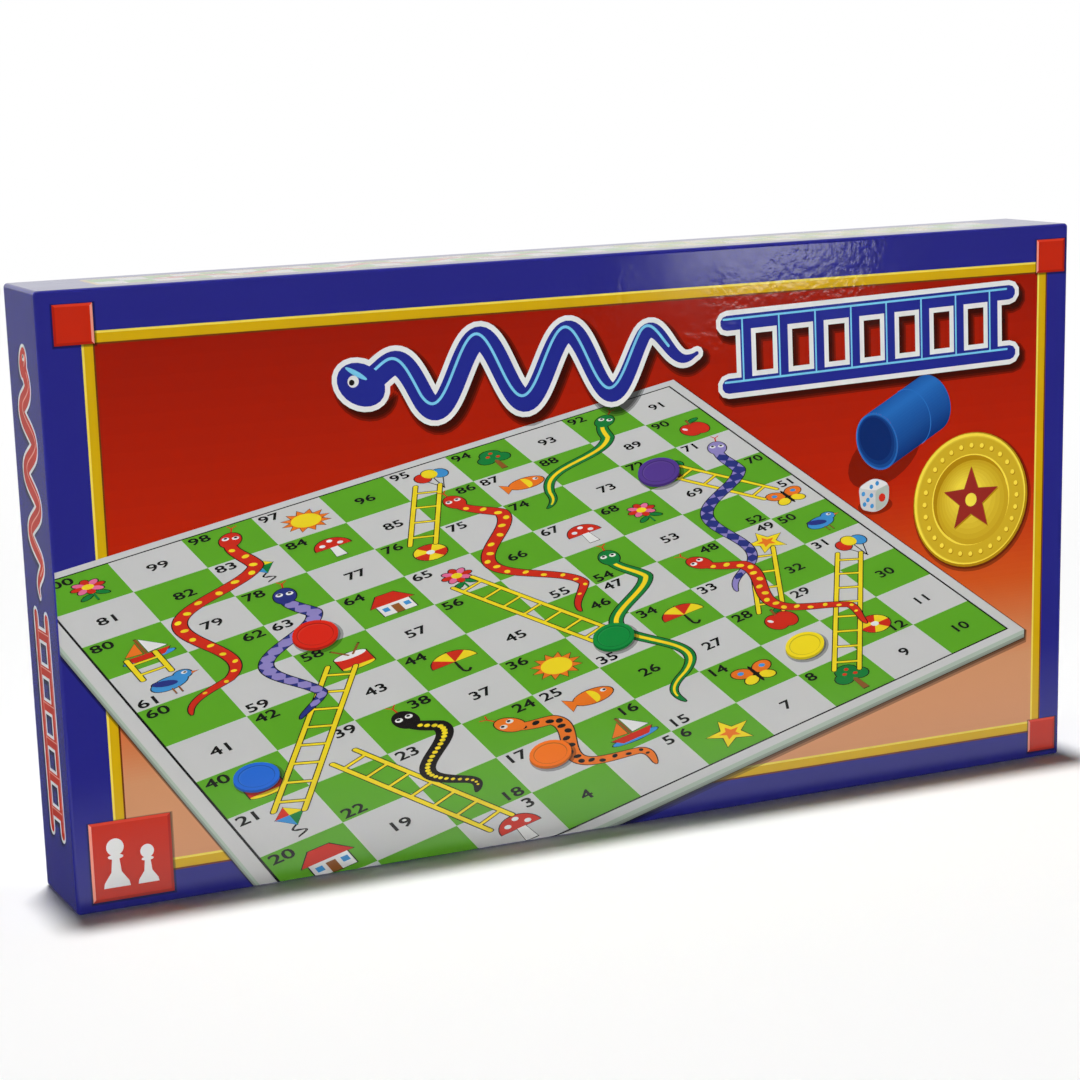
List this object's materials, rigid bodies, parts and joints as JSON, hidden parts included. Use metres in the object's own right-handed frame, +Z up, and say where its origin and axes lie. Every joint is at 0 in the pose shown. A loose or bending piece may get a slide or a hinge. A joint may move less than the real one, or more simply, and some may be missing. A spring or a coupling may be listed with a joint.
{
  "type": "boxed snakes and ladders game",
  "caption": "Rigid box with a lift-off printed lid, holding a folding snakes and ladders board, a formed insert, a shaker cup, a die, counters and a folded leaflet.",
  "frame": {"origin": "middle of the long narrow face that the box stands on, at floor level", "axes": "+X along the box's length, +Y from the printed lid face to the tray's back, +Z up"},
  "size_m": [0.37, 0.037, 0.193],
  "materials": {
    "greyboard": "matt grey chipboard",
    "lid_print": "gloss laminated colour print",
    "stay_tape": "gummed kraft paper",
    "tray_paper": "plain white paper",
    "insert_plastic": "thin formed white sheet",
    "board_print": "laminated colour print",
    "backing_paper": "plain blue paper",
    "hinge_cloth": "plain woven book cloth",
    "leaflet_paper": "uncoated",
    "cup_plastic": "moulded",
    "die_plastic": "polished",
    "blue_paint": "pip paint",
    "red_paint": "pip paint",
    "red_plastic": "moulded",
    "blue_plastic": "moulded",
    "green_plastic": "moulded",
    "orange_plastic": "moulded",
    "yellow_plastic": "moulded",
    "purple_plastic": "moulded"
  },
  "bodies": {
    "tray": {"tray_shell": "greyboard", "tray_wrap": "tray_paper", "tray_corner_stays": "stay_tape", "formed_insert": "insert_plastic"},
    "lid": {"lid_shell": "greyboard", "lid_wrap": "lid_print", "lid_corner_stays": "stay_tape"},
    "board_rear": {"board_rear_panel": "greyboard", "board_rear_face": "board_print", "board_rear_backing": "backing_paper", "board_hinge_cloth": "hinge_cloth"},
    "board_front": {"board_front_panel": "greyboard", "board_front_face": "board_print", "board_front_backing": "backing_paper"},
    "rules": {"rules_leaflet": "leaflet_paper"},
    "cup": {"shaker_cup": "cup_plastic"},
    "die": {"die_body": "die_plastic", "die_blue_pips": "blue_paint", "die_red_pip": "red_paint"},
    "red_counter": {"counter_red": "red_plastic"},
    "blue_counter": {"counter_blue": "blue_plastic"},
    "green_counter": {"counter_green": "green_plastic"},
    "orange_counter": {"counter_orange": "orange_plastic"},
    "yellow_counter": {"counter_yellow": "yellow_plastic"},
    "purple_counter": {"counter_purple": "purple_plastic"}
  },
  "joints": [
    {"name": "lid_lift", "type": "slide", "parent": "tray", "child": "lid", "axis": [0, -1, 0], "range_m": [0, 0.65]},
    {"name": "board_lift", "type": "slide", "parent": "tray", "child": "board_rear", "axis": [0, -1, 0], "range_m": [0, 0.065]},
    {"name": "board_fold", "type": "hinge", "parent": "board_rear", "child": "board_front", "pos_m": [0, -0.0138, 0.1842], "axis": [-1, 0, 0], "range_deg": [0, 180], "deforming": ["board_hinge_cloth"]},
    {"name": "rules_lift", "type": "slide", "parent": "tray", "child": "rules", "axis": [0, -1, 0], "range_m": [0, 0.04875]},
    {"name": "cup_lift", "type": "slide", "parent": "tray", "child": "cup", "axis": [0, -1, 0], "range_m": [0, 0.039]},
    {"name": "die_lift", "type": "slide", "parent": "tray", "child": "die", "axis": [0, -1, 0], "range_m": [0, 0.039]},
    {"name": "red_counter_lift", "type": "slide", "parent": "tray", "child": "red_counter", "axis": [0, -1, 0], "range_m": [0, 0.039]},
    {"name": "blue_counter_lift", "type": "slide", "parent": "tray", "child": "blue_counter", "axis": [0, -1, 0], "range_m": [0, 0.039]},
    {"name": "green_counter_lift", "type": "slide", "parent": "tray", "child": "green_counter", "axis": [0, -1, 0], "range_m": [0, 0.039]},
    {"name": "orange_counter_lift", "type": "slide", "parent": "tray", "child": "orange_counter", "axis": [0, -1, 0], "range_m": [0, 0.039]},
    {"name": "yellow_counter_lift", "type": "slide", "parent": "tray", "child": "yellow_counter", "axis": [0, -1, 0], "range_m": [0, 0.039]},
    {"name": "purple_counter_lift", "type": "slide", "parent": "tray", "child": "purple_counter", "axis": [0, -1, 0], "range_m": [0, 0.039]}
  ],
  "couplings": [
    {"joint": "board_lift", "follows": "lid_lift", "ratio": 0.1},
    {"joint": "board_fold", "follows": "lid_lift", "rad_per_m": 4.833},
    {"joint": "rules_lift", "follows": "lid_lift", "ratio": 0.075},
    {"joint": "cup_lift", "follows": "lid_lift", "ratio": 0.06},
    {"joint": "die_lift", "follows": "lid_lift", "ratio": 0.06},
    {"joint": "red_counter_lift", "follows": "lid_lift", "ratio": 0.06},
    {"joint": "blue_counter_lift", "follows": "lid_lift", "ratio": 0.06},
    {"joint": "green_counter_lift", "follows": "lid_lift", "ratio": 0.06},
    {"joint": "orange_counter_lift", "follows": "lid_lift", "ratio": 0.06},
    {"joint": "yellow_counter_lift", "follows": "lid_lift", "ratio": 0.06},
    {"joint": "purple_counter_lift", "follows": "lid_lift", "ratio": 0.06}
  ]
}
